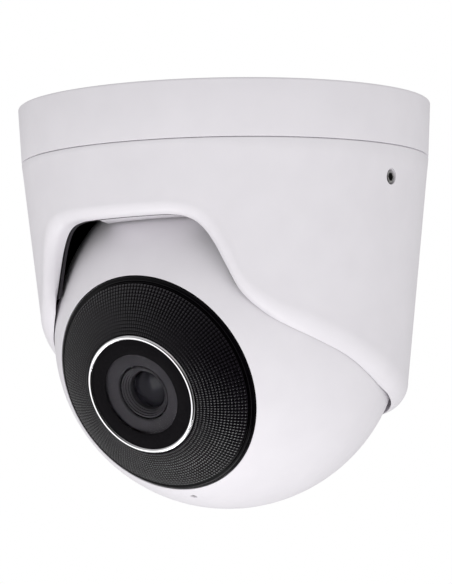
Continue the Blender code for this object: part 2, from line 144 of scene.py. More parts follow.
def rounded(corners, steps=4):
    """An outline of (radius, height) from corners (radius, height, fillet), each corner made an arc."""
    outline = []
    for i, (x, y, fillet) in enumerate(corners):
        here = Vector((x, y))
        before, after = Vector(corners[i - 1][:2]), Vector(corners[(i + 1) % len(corners)][:2])
        u, v = (before - here), (after - here)
        fillet = fillet if x > 0 else 0
        if not fillet or abs(u.normalized().cross(v.normalized())) < 1e-3:
            outline.append((x, y))
            continue
        half = u.angle(v) / 2
        setback = min(fillet / math.tan(half), 0.48 * min(u.length, v.length))
        fillet = setback * math.tan(half)
        u.normalize()
        v.normalize()
        centre = here + (u + v).normalized() * fillet / math.sin(half)
        start, end = here + u * setback - centre, here + v * setback - centre
        turn = start.angle(end)
        for step in range(steps + 1):
            t = step / steps
            arm = (start * math.sin((1 - t) * turn) + end * math.sin(t * turn)) / math.sin(turn)
            outline.append(tuple(centre + arm))
    return outline


def arc(radius, start, end, steps):
    """Points (radius, height) on a circle about the origin, between two angles from the axis in degrees."""
    angles = [math.radians(start + (end - start) * i / steps) for i in range(steps + 1)]
    return [(radius * math.sin(a), radius * math.cos(a)) for a in angles]


def from_axis(radius, height):
    """Angle from the axis, in degrees, of the point at this height on a sphere."""
    return math.degrees(math.acos(height / radius))


# ---------------------------------------------------------------- meshes

def mesh_from(bm, name):
    mesh = bpy.data.meshes.new(name)
    bmesh.ops.recalc_face_normals(bm, faces=bm.faces)
    bm.to_mesh(mesh)
    bm.free()
    return mesh


def turned(name, outline, sides=SIDES):
    """A closed outline of (radius, height) turned about Z. One that starts and ends on the axis is solid."""
    bm = bmesh.new()
    rows = []
    for radius, height in outline:
        if radius < 1e-6:
            rows.append([bm.verts.new((0, 0, height * MM))] * sides)
            continue
        rows.append([bm.verts.new((radius * math.cos(a) * MM, radius * math.sin(a) * MM, height * MM))
                     for a in (2 * math.pi * i / sides for i in range(sides))])
    join_rows(bm, rows, closed=outline[0][0] > 1e-6)
    return mesh_from(bm, name)


def join_rows(bm, rows, closed):
    """Faces between neighbouring rows of points that each run round the axis."""
    pairs = list(zip(rows, rows[1:]))
    if closed:
        pairs.append((rows[-1], rows[0]))
    for above, below in pairs:
        for i in range(len(above)):
            j = (i + 1) % len(above)
            bm.faces.new(list(dict.fromkeys((above[i], above[j], below[j], below[i]))))


def bar(name, radius, length, sides=48, at=(0, 0, 0), turn=(0, 0, 0)):
    """A hidden cylinder that cuts holes."""
    bm = bmesh.new()
    bmesh.ops.create_cone(bm, cap_ends=True, segments=sides, radius1=radius * MM, radius2=radius * MM,
                          depth=length * MM)
    return helper(mesh_from(bm, name), at, turn)


def block(name, size, at=(0, 0, 0), turn=(0, 0, 0)):
    """A hidden box that cuts openings."""
    bm = bmesh.new()
    bmesh.ops.create_cube(bm, size=1.0, matrix=Matrix.Diagonal((*(Vector(size) * MM), 1)))
    return helper(mesh_from(bm, name), at, turn)


def helper(mesh, at, turn):
    obj = bpy.data.objects.new(mesh.name, mesh)
    bpy.context.scene.collection.objects.link(obj)
    obj.location = Vector(at) * MM
    obj.rotation_euler = [math.radians(angle) for angle in turn]
    return obj


def carve(mesh, cutters, joined=()):
    """The mesh with some helpers joined to it and the others cut from it. The helpers are used up."""
    obj = bpy.data.objects.new(mesh.name, mesh)
    bpy.context.scene.collection.objects.link(obj)
    for tool in [*joined, *cutters]:
        modifier = obj.modifiers.new(tool.name, "BOOLEAN")
        modifier.operation = "UNION" if tool in joined else "DIFFERENCE"
        modifier.object = tool
    made = bpy.data.meshes.new_from_object(obj.evaluated_get(bpy.context.evaluated_depsgraph_get()))
    for used in [obj, *joined, *cutters]:
        bpy.data.objects.remove(used)
    made.name = mesh.name
    return made


def piece(name, mesh, body, look, stands_for=(), place=WORLD, sharp=32):
    """A shown piece that rides on a CAD body and takes its finish from the look's slot."""
    mesh.transform(place)
    obj = bpy.data.objects.new(name, mesh)
    bpy.context.scene.collection.objects.link(obj)
    mesh.materials.clear()
    mesh.materials.append(LOOKS[look])
    mesh.shade_smooth()
    mesh.set_sharp_from_angle(angle=math.radians(sharp))
    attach(obj, body)
    if stands_for:
        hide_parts(*stands_for)
    return obj


# ---------------------------------------------------------------- materials

class Look:
    """A procedural material: a Principled shader with nodes that vary its colour, gloss and relief."""

    def __init__(self, name, roughness, metallic=0.0, **sockets):
        self.material = bpy.data.materials.new(name)
        self.material.use_nodes = True
        self.nodes = self.material.node_tree.nodes
        self.shader = self.nodes["Principled BSDF"]
        self.shader.inputs["Roughness"].default_value = roughness
        self.shader.inputs["Metallic"].default_value = metallic
        for socket, value in sockets.items():
            self.shader.inputs[socket.replace("_", " ")].default_value = value
        self.place = self.nodes.new("ShaderNodeTexCoord").outputs["Object"]

    def link(self, source, target):
        self.material.node_tree.links.new(source, target)

    def noise(self, size, detail=2.0, stretch=(1, 1, 1)):
        """Noise with features of about this size in millimetres."""
        mapping = self.nodes.new("ShaderNodeMapping")
        mapping.inputs["Scale"].default_value = [1 / (size * MM * s) for s in stretch]
        self.link(self.place, mapping.inputs["Vector"])
        texture = self.nodes.new("ShaderNodeTexNoise")
        texture.inputs["Scale"].default_value = 1.0
        texture.inputs["Detail"].default_value = detail
        self.link(mapping.outputs["Vector"], texture.inputs["Vector"])
        return texture.outputs["Fac"]

    def cells(self, size, feature="F1", stretch=(1, 1, 1)):
        """Voronoi cells of about this size in millimetres."""
        mapping = self.nodes.new("ShaderNodeMapping")
        mapping.inputs["Scale"].default_value = [1 / (size * MM * s) for s in stretch]
        self.link(self.place, mapping.inputs["Vector"])
        texture = self.nodes.new("ShaderNodeTexVoronoi")
        texture.feature = feature
        texture.inputs["Scale"].default_value = 1.0
        self.link(mapping.outputs["Vector"], texture.inputs["Vector"])
        return texture.outputs["Distance"]

    def between(self, driver, low, high, start=0.3, end=0.7):
        """A value that runs from low to high as the driver runs from start to end."""
        spread = self.nodes.new("ShaderNodeMapRange")
        for name, value in zip(("From Min", "From Max", "To Min", "To Max"), (start, end, low, high)):
            spread.inputs[name].default_value = value
        self.link(driver, spread.inputs["Value"])
        return spread.outputs["Result"]

    def colour(self, driver, dark, light, start=0.3, end=0.7):
        ramp = self.nodes.new("ShaderNodeValToRGB")
        ramp.color_ramp.elements[0].position = start
        ramp.color_ramp.elements[1].position = end
        ramp.color_ramp.elements[0].color = (*dark, 1.0)
        ramp.color_ramp.elements[1].color = (*light, 1.0)
        self.link(driver, ramp.inputs["Fac"])
        self.link(ramp.outputs["Color"], self.shader.inputs["Base Color"])
        return self

    def gloss(self, driver, low, high):
        self.link(self.between(driver, low, high), self.shader.inputs["Roughness"])
        return self

    def relief(self, driver, depth, strength=1.0):
        """Bumps as deep as this in millimetres, on top of those already there."""
        bump = self.nodes.new("ShaderNodeBump")
        bump.inputs["Distance"].default_value = depth * MM
        bump.inputs["Strength"].default_value = strength
        self.link(driver, bump.inputs["Height"])
        normal = self.shader.inputs["Normal"]
        if normal.is_linked:
            self.link(normal.links[0].from_socket, bump.inputs["Normal"])
        self.link(bump.outputs["Normal"], normal)
        return self


def white_paint():
    """Fine powder coat: a faint orange peel, and hardly any change of tone."""
    look = Look("white_paint", 0.42, Specular_IOR_Level=0.4)
    look.colour(look.noise(9.0, 3.0), (0.725, 0.702, 0.738), (0.747, 0.724, 0.760))
    look.gloss(look.noise(1.6, 2.0), 0.38, 0.5)
    look.relief(look.noise(0.9, 1.0), 0.010, 0.5)
    return look.relief(look.noise(0.28, 2.0), 0.004, 0.5)


def pad_black():
    """Infrared-clear black of the bezel, polished in the mould."""
    look = Look("pad_black", 0.14, Specular_IOR_Level=0.12)
    look.colour(look.noise(2.4, 3.0), (0.0008, 0.0006, 0.0010), (0.0016, 0.0012, 0.0020))
    look.gloss(look.noise(0.5, 2.0), 0.12, 0.20)
    return look.relief(look.noise(0.12, 1.0), 0.002, 0.3)


def pad_top_painted_light():
    """Tops of the bezel's pads: the bezel's black painted greyer and shinier than the grooves between them, a
    painted highlight on the tops and painted shade in the grooves.
    """
    look = Look("pad_top_painted_light", 0.16, Specular_IOR_Level=0.85)
    look.colour(look.noise(0.6, 2.0), (0.005, 0.004, 0.006), (0.011, 0.009, 0.013))
    look.gloss(look.noise(0.4, 2.0), 0.10, 0.20)
    return look.relief(look.noise(0.15, 1.0), 0.002, 0.3)


def black_plastic():
    look = Look("black_plastic", 0.5, Specular_IOR_Level=0.35)
    look.colour(look.noise(1.8, 3.0), (0.017, 0.015, 0.019), (0.026, 0.023, 0.028))
    look.gloss(look.noise(0.6, 2.0), 0.42, 0.58)
    return look.relief(look.cells(0.25), 0.008, 0.5)


def grey_baffle():
    """Dark grey moulding round the lens, dulled so that it throws no light back."""
    look = Look("grey_baffle", 0.7, Specular_IOR_Level=0.2)
    look.colour(look.noise(1.0, 3.0), (0.044, 0.041, 0.046), (0.054, 0.050, 0.056))
    look.gloss(look.noise(0.4, 2.0), 0.62, 0.78)
    return look.relief(look.cells(0.18), 0.006, 0.4)


def printed_mask():
    """Black ink on the back of the window."""
    look = Look("printed_mask", 0.6, Specular_IOR_Level=0.05)
    look.colour(look.noise(0.7, 2.0), (0.0035, 0.0030, 0.0040), (0.0055, 0.0048, 0.0060))
    look.gloss(look.noise(0.3, 1.0), 0.5, 0.7)
    return look.relief(look.noise(0.08, 1.0), 0.002, 0.3)


def black_rubber():
    look = Look("black_rubber", 0.85, Specular_IOR_Level=0.3)
    look.colour(look.noise(1.2, 4.0), (0.014, 0.014, 0.014), (0.028, 0.027, 0.027))
    look.gloss(look.noise(0.5, 2.0), 0.75, 0.92)
    return look.relief(look.noise(0.2, 3.0), 0.02, 0.6)


def black_nylon():
    look = Look("black_nylon", 0.5, Specular_IOR_Level=0.45)
    look.colour(look.noise(2.0, 3.0, (1, 1, 4)), (0.045, 0.045, 0.046), (0.075, 0.074, 0.073))
    look.gloss(look.noise(0.8, 2.0), 0.42, 0.6)
    return look.relief(look.cells(0.3), 0.010, 0.5)


def die_cast():
    """Zinc casting: bright grain and soft flow marks."""
    look = Look("die_cast", 0.45, 1.0)
    look.colour(look.noise(1.1, 5.0), (0.43, 0.44, 0.46), (0.60, 0.61, 0.63))
    look.gloss(look.noise(2.4, 3.0), 0.36, 0.56)
    look.relief(look.cells(0.35), 0.02, 0.5)
    return look.relief(look.noise(5.0, 2.0), 0.05, 0.3)


def screw_steel():
    """Blackened steel with worn, brighter patches and tool marks."""
    look = Look("screw_steel", 0.3, 1.0)
    look.colour(look.noise(0.8, 4.0), (0.30, 0.30, 0.31), (0.52, 0.51, 0.50))
    look.gloss(look.noise(0.4, 2.0), 0.24, 0.42)
    return look.relief(look.noise(0.12, 2.0, (6, 1, 1)), 0.006, 0.5)


def chrome_trim():
    look = Look("chrome_trim", 0.08, 1.0)
    look.colour(look.noise(3.0, 2.0), (0.84, 0.83, 0.85), (0.90, 0.89, 0.91))
    look.gloss(look.noise(0.6, 3.0), 0.06, 0.12)
    return look.relief(look.noise(0.5, 1.0), 0.001, 0.4)


def clear_window():
    """Coated flat glass: nearly clear, with a little haze of dust."""
    look = Look("clear_window", 0.03, 0.0, Transmission_Weight=1.0, IOR=1.06, Specular_IOR_Level=0.5)
    look.colour(look.noise(4.0, 3.0), (0.93, 0.93, 0.95), (0.98, 0.98, 0.99))
    look.gloss(look.noise(1.5, 3.0), 0.015, 0.05)
    return look.relief(look.noise(6.0, 1.0), 0.001, 0.2)


def lens_glass():
    """Dark coated lens: almost black, with a cool gloss."""
    look = Look("lens_glass", 0.06, 0.0, Specular_IOR_Level=0.16)
    look.colour(look.noise(2.6, 1.0), (0.009, 0.008, 0.012), (0.014, 0.013, 0.018))
    look.gloss(look.noise(0.9, 2.0), 0.04, 0.1)
    return look.relief(look.noise(3.0, 1.0), 0.002, 0.2)


def led_lens():
    look = Look("led_lens", 0.1, 0.0, Transmission_Weight=0.6, IOR=1.5)
    look.colour(look.noise(0.9, 2.0), (0.70, 0.73, 0.78), (0.84, 0.86, 0.90))
    look.gloss(look.noise(0.4, 2.0), 0.06, 0.16)
    return look.relief(look.noise(0.5, 1.0), 0.004, 0.3)


def circuit_board():
    """Solder mask over copper tracks, which stand a little proud of it."""
    look = Look("circuit_board", 0.4, Coat_Weight=0.4, Coat_Roughness=0.12)
    tracks = look.cells(1.6, "DISTANCE_TO_EDGE", (1, 1, 6))
    look.colour(tracks, (0.012, 0.085, 0.035), (0.030, 0.170, 0.070), 0.10, 0.16)
    look.gloss(look.noise(0.7, 2.0), 0.34, 0.5)
    return look.relief(look.between(tracks, 0.0, 1.0, 0.10, 0.16), 0.035, 0.8)


def chip():
    look = Look("chip", 0.55, Specular_IOR_Level=0.4)
    look.colour(look.noise(0.3, 4.0), (0.020, 0.020, 0.021), (0.038, 0.038, 0.040))
    look.gloss(look.noise(0.5, 2.0), 0.45, 0.65)
    return look.relief(look.noise(0.12, 3.0), 0.010, 0.6)


def standoff_brass():
    look = Look("standoff_brass", 0.35, 1.0)
    look.colour(look.noise(0.9, 4.0), (0.50, 0.35, 0.13), (0.72, 0.55, 0.25))
    look.gloss(look.noise(0.4, 3.0), 0.26, 0.44)
    return look.relief(look.noise(0.15, 2.0, (1, 6, 6)), 0.012, 0.5)


def studio_floor():
    look = Look("studio_floor", 0.9, Specular_IOR_Level=0.1, Emission_Color=(1.0, 1.0, 1.0, 1.0),
                Emission_Strength=0.12)
    look.colour(look.noise(60.0, 3.0), (0.86, 0.86, 0.86), (0.89, 0.89, 0.89))
    return look


RECORD_LOOKS = (white_paint, black_plastic, black_rubber, black_nylon, die_cast, screw_steel, chrome_trim,
                clear_window, led_lens, circuit_board, chip, standoff_brass)
LOOKS = {make.__name__: make().material for make in RECORD_LOOKS}


def refinish(obj, make):
    """A finish of its own for a piece whose slot covers several tones."""
    obj.data.materials.clear()
    obj.data.materials.append(make().material)
    return obj


# ---------------------------------------------------------------- base

def build_base():
    _, radius, low, _ = reach("base_housing")
    web_top, web_low = -2.9, -5.4
    wall = SEAM_RADIUS - 2.3
    outline = rounded([
        (0, web_top, 0), (51.8, web_top, 0.3), (51.8, 0, EDGE), (radius, 0, 0.6),
        (SEAM_RADIUS, SEAM + SEAM_GAP / 2, EDGE), (wall, SEAM + SEAM_GAP / 2, EDGE),
        (wall, web_low, 1.0), (0, web_low, 0),
    ])
    spots = [polar(49.9, 30 + 120 * i) for i in range(3)]
    bosses = [bar(f"boss_{i}", 1.8, 7.2, at=(x * 1.01, y * 1.01, web_low - 3.1))
              for i, (x, y) in enumerate(spots)]
    cutters = [bar(f"boss_hole_{i}", 0.95, 8, at=(x, y, -10.2)) for i, (x, y) in enumerate(spots)]
    cutters += plate_holes(web_top + 2, web_low - 2)
    piece("painted_base", carve(turned("painted_base", outline), cutters, bosses), "base",
          "white_paint", ["base_housing"])
    build_plate()


def polar(radius, angle):
    return radius * math.cos(math.radians(angle)), radius * math.sin(math.radians(angle))


def plate_holes(top, bottom):
    """Cutters for the cable hole and the three screw holes that the plate and the base share."""
    middle, length = (top + bottom) / 2, top - bottom
    holes = [bar("cable_hole", 8.6, length, 96, at=(0, 24, middle))]
    for i in range(3):
        x, y = polar(30, 270 + 120 * i)
        holes.append(bar(f"plate_hole_{i}", 1.25, length, at=(x, y, middle)))
    return holes


def build_plate():
    """Ceiling plate: pressed steel with three slots, a cable hole and a stiffening bead."""
    _, radius, low, top = reach("mounting_plate")
    bead, bead_half, bead_deep = 45.6, 0.9, 0.45
    outline = rounded([
        (0, top, 0), (bead - bead_half, top, 0.4), (bead, top - bead_deep, 0.5),
        (bead + bead_half, top, 0.4), (radius, top, 0.4), (radius, low, 0.4), (0, low, 0),
    ])
    cutters = plate_holes(1.5, low - 1.5)
    for i in range(3):
        x, y = polar(40, 90 + 120 * i)
        cutters.append(slot_cutter(f"ceiling_slot_{i}", 2.3, 7.0, at=(x, y, 0), turn=(0, 0, 120 * i + 180)))
    piece("ceiling_plate", carve(turned("ceiling_plate", outline, 192), cutters), "base", "die_cast",
          ["mounting_plate"])


def slot_cutter(name, radius, length, at, turn):
    """A slot with round ends, lengthwise on X."""
    bm = bmesh.new()
    outline = []
    for side, start in ((1, -90), (-1, 90)):
        for i in range(17):
            x, y = polar(radius, start + 11.25 * i)
            outline.append(bm.verts.new(((side * length / 2 + x) * MM, y * MM, -5 * MM)))
    raised = bmesh.ops.extrude_face_region(bm, geom=[bm.faces.new(outline)])["geom"]
    bmesh.ops.translate(bm, verts=[item for item in raised if isinstance(item, bmesh.types.BMVert)],
                        vec=(0, 0, 10 * MM))
    return helper(mesh_from(bm, name), at, turn)


# ---------------------------------------------------------------- turret

def lip_height(azimuth):
    """Height of the cover's edge: a cubic through LIP that doesn't overshoot."""
    azimuth = abs((azimuth + 180) % 360 - 180)
    steps = [(LIP[i + 1][1] - LIP[i][1]) / (LIP[i + 1][0] - LIP[i][0]) for i in range(len(LIP) - 1)]
    slopes = [0.0]
    for before, after in zip(steps, steps[1:]):
        slopes.append(2 * before * after / (before + after) if before * after > 0 else 0.0)
    slopes.append(0.0)
    i = max(n for n in range(len(LIP) - 1) if LIP[n][0] <= azimuth)
    (a, za), (b, zb) = LIP[i], LIP[i + 1]
    t, width = (azimuth - a) / (b - a), b - a
    return ((1 + 2 * t) * (1 - t) ** 2 * za + t * (1 - t) ** 2 * width * slopes[i]
            + t * t * (3 - 2 * t) * zb + t * t * (t - 1) * width * slopes[i + 1])


def cover_radius(height):
    return SEAM_RADIUS - TAPER * (SEAM - height)


def bore_radius(height, azimuth):
    """Radius of the bore, which closes in on the ball below the cheeks and opens again at the back."""
    below = min(height - BALL_CENTRE.z / MM, 0.0)
    cheek = min(max((abs(azimuth) - 38) / 10, 0), 1)
    back = min(max((abs(azimuth) - 96) / 8, 0), 1)
    seat = SEAT - CHEEK_CLOSES * cheek + BACK_OPENS * back
    return math.sqrt(seat ** 2 - below ** 2)


def cover_section(azimuth, outer_steps=14, fillet_steps=14, inner_steps=14):
    """Closed outline of the cover wall as (radius, height) at one azimuth."""
    lip = lip_height(azimuth)
    rise = (lip_height(azimuth + 0.5) - lip_height(azimuth - 0.5)) / math.radians(cover_radius(lip))
    blend = min(max((abs(azimuth) - 38) / 24, 0), 1)
    across = FRONT_FILLET + (SIDE_FILLET - FRONT_FILLET) * blend * blend * (3 - 2 * blend)
    tall = across * math.sqrt(1 + rise * rise)
    inner, start = bore_radius(lip, azimuth), lip
    for _ in range(4):
        middle = cover_radius(start) - across
        end = math.acos(min(max((inner - middle) / across, 0), 1))
        start = lip + tall * math.sin(end)
    top = SEAM - SEAM_GAP / 2
    outline = []
    for i in range(4):
        angle = math.radians(90 - 30 * i)
        outline.append((cover_radius(top) - EDGE * (1 - math.cos(angle)), top - EDGE * (1 - math.sin(angle))))
    for i in range(1, outer_steps):
        height = top - EDGE + (start - top + EDGE) * i / outer_steps
        outline.append((cover_radius(height), height))
    for i in range(fillet_steps + 1):
        angle = end * i / fillet_steps
        outline.append((middle + across * math.cos(angle), start - tall * math.sin(angle)))
    for i in range(1, inner_steps + 1):
        height = lip + (BROW_SHOULDER - lip) * i / inner_steps
        outline.append((bore_radius(height, azimuth), height))
    outline.append((cover_radius(BROW_SHOULDER) - COVER_WALL, BROW_SHOULDER))
    outline.append((cover_radius(top) - COVER_WALL, top))
    return outline


def azimuths():
    """Section azimuths round the turret, closest together where the edge of the cover is steep."""
    half = [0, 4, 8, 11, 14, 16] + [17 + 0.75 * i for i in range(44)] + [50 + 2 * i for i in range(65)]
    return half + [180] + [-azimuth for azimuth in reversed(half[1:])]


def loft(name, section):
    """Sections of (radius, height) at each azimuth from the front, joined round the turret."""
    bm = bmesh.new()
    columns = []
    for azimuth in azimuths():
        side, front = math.sin(math.radians(azimuth)), -math.cos(math.radians(azimuth))
        columns.append([bm.verts.new((r * side * MM, r * front * MM, z * MM)) for r, z in section(azimuth)])
    rows = list(zip(*columns))
    join_rows(bm, rows, closed=True)
    bmesh.ops.remove_doubles(bm, verts=bm.verts, dist=0.002 * MM)
    return mesh_from(bm, name)


def screw_axis(side):
    """Frame on the pan axis whose +Z runs out along a set screw."""
    return (Matrix.Translation((0, 0, SCREW_HEIGHT * MM))
            @ Matrix.Rotation(math.radians(side * (SCREW_AZIMUTH - 90)), 4, "Z")
            @ Matrix.Rotation(math.radians(90 * side), 4, "Y"))


def build_cover():
    cutters = [block("key_relief", (2 * SLOT_HALF + 0.6, 7.8, 14), at=(0, 43.9, BALL_CENTRE.z / MM + 10))]
    for side in (1, -1):
        hole = turned_helper("set_screw_hole", [
            (0, 60), (SCREW_HOLE + 0.15, 60), (SCREW_HOLE + 0.15, cover_radius(SCREW_HEIGHT) + 0.05),
            (SCREW_HOLE, cover_radius(SCREW_HEIGHT) - 0.25), (SCREW_HOLE, 44), (0, 44)], screw_axis(side))
        cutters.append(hole)
    piece("painted_cover", carve(loft("painted_cover", cover_section), cutters), "turret", "white_paint",
          ["cover_shell"])
    for side, word in ((1, "right"), (-1, "left")):
        build_set_screw(word, screw_axis(side))


def turned_helper(name, outline, place):
    """A hidden turned shape that cuts holes."""
    mesh = turned(name, outline, 64)
    mesh.transform(place)
    return helper(mesh, (0, 0, 0), (0, 0, 0))


def build_set_screw(word, place):
    """Grub screw with a chamfered mouth, a thread and a hexagon socket."""
    _, radius, low, high = reach(f"set_screw_{word}", place)
    pitch = 0.7
    corners = [(0, high, 0), (1.4, high, 0.1), (radius - 0.1, high - 0.3, 0.12)]
    for i in range(int((high - low - 0.8) / pitch)):
        top = high - 0.45 - i * pitch
        corners += [(radius, top, 0.05), (radius - 0.3, top - pitch / 2, 0.05)]
    corners += [(radius - 0.4, low, 0.1), (0, low, 0)]
    socket = bar("hex_socket", 1.15, 4.0, 6, at=(0, 0, high))
    mesh = carve(turned(f"grub_screw_{word}", rounded(corners, 2), 64), [socket])
    piece(f"grub_screw_{word}", mesh, "turret", "screw_steel", [f"set_screw_{word}"], place)


def sleeve_foot(azimuth):
    return max(lip_height(azimuth) + SLEEVE_GAP, -51.5)


def dome_section(azimuth):
    """Closed outline of the pivot dome at one azimuth. Its sleeve ends just above the cover's edge."""
    centre = BALL_CENTRE.z / MM
    outside, inside, flange_top, flange_low = 48.5, 46.5, -27.5, BROW_SHOULDER + 0.3
    sleeve, lining = SEAT - 0.3, SEAT - 1.0
    foot = min(sleeve_foot(azimuth), flange_low - 0.2)
    outline = [(r, z + centre) for r, z in arc(outside, from_axis(outside, 47.44),
                                              from_axis(outside, flange_top - centre), 10)]
    outline += [(50.0, flange_top), (50.0, flange_low), (sleeve, flange_low)]
    outline += [(sleeve, flange_low + (foot - flange_low) * i / 8) for i in range(1, 9)]
    outline += [(lining, foot + (flange_low + 0.9 - foot) * i / 8) for i in range(9)]
    outline += [(r, z + centre) for r, z in arc(inside, from_axis(inside, flange_low + 0.9 - centre),
                                               from_axis(inside, 45.4), 10)]
    return outline


def build_dome():
    centre = BALL_CENTRE.z / MM
    slot = block("dome_slot", (2 * SLOT_HALF, 55.9, 60), at=(0, 47.9 - 55.9 / 2, centre + 30))
    mesh = carve(loft("black_pivot_dome", dome_section), [slot])
    piece("black_pivot_dome", mesh, "turret", "black_plastic", ["pivot_dome"])


def build_brow_liner():
    """White plate that closes the brow above the ball, with softened edges."""
    inner, outer, low, high = reach("brow_liner")
    bm = bmesh.new()
    outline = []
    for radius, start, end in ((outer, LINER_LEFT[0], LINER_RIGHT[0]),
                               (inner + 0.1, LINER_RIGHT[1], LINER_LEFT[1])):
        for i in range(61):
            x, y = polar(radius, start + (end - start) * i / 60 - 90)
            outline.append(bm.verts.new((x * MM, y * MM, high * MM)))
    raised = bmesh.ops.extrude_face_region(bm, geom=[bm.faces.new(outline)])["geom"]
    lower = [item for item in raised if isinstance(item, bmesh.types.BMVert)]
    bmesh.ops.translate(bm, verts=lower, vec=(0, 0, (low - high) * MM))
    rim = [edge for edge in bm.edges if all(vertex in lower for vertex in edge.verts)]
    bmesh.ops.bevel(bm, geom=rim, offset=0.3 * MM, segments=4, profile=0.5, affect="EDGES")
    piece("brow_plate", mesh_from(bm, "brow_plate"), "turret", "white_paint", ["brow_liner"])


# ---------------------------------------------------------------- ball

def build_ball():
    _, outer, low, high = reach("ball_shell", BALL_FRAME)
    ball = max((vertex.co - BALL_CENTRE).length for vertex in frame["nodes"]["ball_shell"].data.vertices) / MM
    inside = ball - 2.4
    outline = arc(ball, from_axis(ball, high), from_axis(ball, low), 72)
    outline += rounded([(27.3, low, 0.3), (27.3, -32.9, 0.3), (21.8, -32.9, 0.3), (21.8, -30.6, 0.3)], 3)
    outline += arc(inside, from_axis(inside, -30.6), from_axis(inside, 30.0), 36)
    outline += [(27.0, 30.0), (27.0, 32.2), (29.5, 32.2), (29.5, high - 0.05)]
    low_mic, high_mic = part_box("microphone")
    mic = BALL_FRAME.inverted() @ ((low_mic + high_mic) / 2)
    angle = math.degrees(math.atan2(-mic.y, mic.z))
    cutters = [bar("mic_hole", 0.8, 8, 32, **radial(angle, 45.0)),
               bar("mic_mouth", 0.95, 0.4, 32, **radial(angle, ball)),
               bar("mic_pocket", 2.2, 7, 32, **radial(angle, 39.8))]
    piece("painted_ball", carve(turned("painted_ball", outline), cutters), "eyeball", "white_paint",
          ["ball_shell"], BALL_FRAME)
    boot = turned("microphone_boot", rounded([(0, ball - 0.45, 0), (0.78, ball - 0.45, 0.05),
                                              (0.78, ball - 3.2, 0.05), (0, ball - 3.2, 0)]), 48)
    lean = BALL_FRAME @ Matrix.Rotation(math.radians(angle), 4, "X")
    piece("microphone_boot", boot, "eyeball", "black_rubber", (), lean)
    build_bezel(ball - 0.1)
    build_window()
    build_lens()


def radial(angle, distance):
    """Place and turn of a helper on the ball, below the view direction by angle and facing outwards."""
    a = math.radians(angle)
    return {"at": (0, -distance * math.sin(a), distance * math.cos(a)), "turn": (angle, 0, 0)}


def pad_height(column, row):
    """Height against the sphere of a point of the pad pattern, given in parts of a pad."""
    u, v = abs(2 * (column % 1) - 1), abs(2 * (row % 1) - 1)
    top = (1 - u ** PAD_EDGE_POWER) * (1 - v ** PAD_EDGE_POWER)
    return -PAD_DEPTH * (1 - top) - PAD_CROWN * (u * u + v * v)


def build_bezel(sphere):
    """Front ring of the ball: a chequer of pads, a groove and a polished rim."""
    sides, bands = PAD_COLUMNS * PAD_STEPS, PAD_ROWS * PAD_STEPS
    bm = bmesh.new()

    def row(radius, height):
        return [bm.verts.new((radius * math.cos(math.tau * i / sides) * MM,
                              radius * math.sin(math.tau * i / sides) * MM, height * MM))
                for i in range(sides)]

    rows = [row(16.35, 40.9), row(*arc(sphere - 0.25, 20.85, 20.85, 1)[0])]
    for band in range(bands + 1):
        angle = math.radians(PADS_FROM + (PADS_TO - PADS_FROM) * band / bands)
        ring = []
        for i in range(sides):
            depth = sphere + pad_height(i / PAD_STEPS, band / PAD_STEPS)
            turn = math.tau * i / sides
            ring.append(bm.verts.new((depth * math.sin(angle) * math.cos(turn) * MM,
                                      depth * math.sin(angle) * math.sin(turn) * MM,
                                      depth * math.cos(angle) * MM)))
        rows.append(ring)
    rim = from_axis(sphere, 35.46)
    for depth, angle in ((0.62, PADS_TO + 0.2), (0.7, PADS_TO + 0.45), (0.62, GROOVE_TO - 0.15),
                         (0.16, GROOVE_TO), (0.04, GROOVE_TO + 0.2), (0.0, GROOVE_TO + 0.55),
                         (0.0, rim - 0.5), (0.03, rim - 0.2), (0.12, rim)):
        rows.append(row(*arc(sphere - depth, angle, angle, 1)[0]))
    back = sphere - 2.1
    rows += [row(29.3, 32.5), row(27.2, 32.5)]
    rows += [row(*point) for point in arc(back, from_axis(back, 34.46), from_axis(back, 39.7), 6)]
    rows += [row(12.4, 39.7), row(12.4, 40.9)]
    join_rows(bm, rows, closed=True)
    bezel = piece("padded_bezel", mesh_from(bm, "padded_bezel"), "eyeball", "black_plastic", ["bezel"],
                  BALL_FRAME, sharp=60)
    refinish(bezel, pad_black)
    # Lighter, shinier pad tops against darker grooves: painted highlight and painted shade
    paint_light_on_pad_tops(bezel)


def paint_light_on_pad_tops(bezel):
    """Paint the middle of each pad with a lighter, shinier copy of the bezel's black, so that the tops carry a
    painted highlight and the grooves round them painted shade.
    """
    bezel.data.materials.append(pad_top_painted_light().material)
    to_ball = BALL_FRAME.inverted()
    for polygon in bezel.data.polygons:
        spot = to_ball @ polygon.center
        angle = math.degrees(math.atan2(math.hypot(spot.x, spot.y), spot.z))
        column = math.atan2(spot.y, spot.x) / math.tau * PAD_COLUMNS
        row = (angle - PADS_FROM) / (PADS_TO - PADS_FROM) * PAD_ROWS
        # Polygons in the middle of a pad take the painted-highlight finish; the rest keep the darker black as
        # painted shade in the grooves
        gets_painted_light = all(abs(2 * (part % 1) - 1) < PAD_PAINTED_LIGHT_SPAN for part in (column, row))
        if gets_painted_light and 0 < row < PAD_ROWS:
            polygon.material_index = 1


